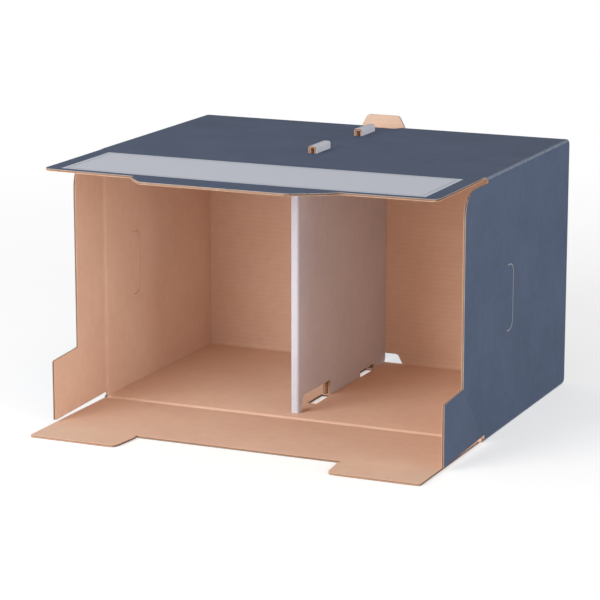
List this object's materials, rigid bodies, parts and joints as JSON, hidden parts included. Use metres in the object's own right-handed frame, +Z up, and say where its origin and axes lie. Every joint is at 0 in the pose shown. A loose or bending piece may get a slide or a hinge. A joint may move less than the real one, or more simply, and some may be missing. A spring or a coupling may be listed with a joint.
{
  "type": "archive storage box",
  "caption": "Folded corrugated board box for lever arch files, with a drop lid whose tongue hooks into a front flap, side flaps and a centre divider.",
  "frame": {"origin": "centre of the bottom panel, on its underside", "axes": "+X to the box's right as seen from the open front, +Y from the open front to the back, +Z up"},
  "size_m": [0.53, 0.542, 0.348],
  "materials": {
    "slate_board": "corrugated board printed slate blue outside, bare kraft inside, matt",
    "white_board": "corrugated board with a bleached white outer liner, matt"
  },
  "bodies": {
    "box": {"carton": "slate_board", "centre_divider": "white_board"},
    "lid": {"lid": "slate_board"},
    "front_flap": {"front_flap": "slate_board"},
    "side_flap_right": {"side_flap_right": "slate_board"},
    "side_flap_left": {"side_flap_left": "slate_board"}
  },
  "joints": [
    {"name": "lid_crease", "type": "hinge", "parent": "box", "child": "lid", "pos_m": [0, -0.161, 0.333], "axis": [1, 0, 0], "range_deg": [-165, 81.5]},
    {"name": "front_flap_crease", "type": "hinge", "parent": "box", "child": "front_flap", "pos_m": [0, -0.161, 0], "axis": [-1, 0, 0], "range_deg": [0, 81]},
    {"name": "side_flap_right_crease", "type": "hinge", "parent": "box", "child": "side_flap_right", "pos_m": [0.265, -0.1575, 0.1665], "axis": [0, 0, -1], "range_deg": [-165, 90]},
    {"name": "side_flap_left_crease", "type": "hinge", "parent": "box", "child": "side_flap_left", "pos_m": [-0.265, -0.1575, 0.1665], "axis": [0, 0, 1], "range_deg": [-165, 90]}
  ]
}
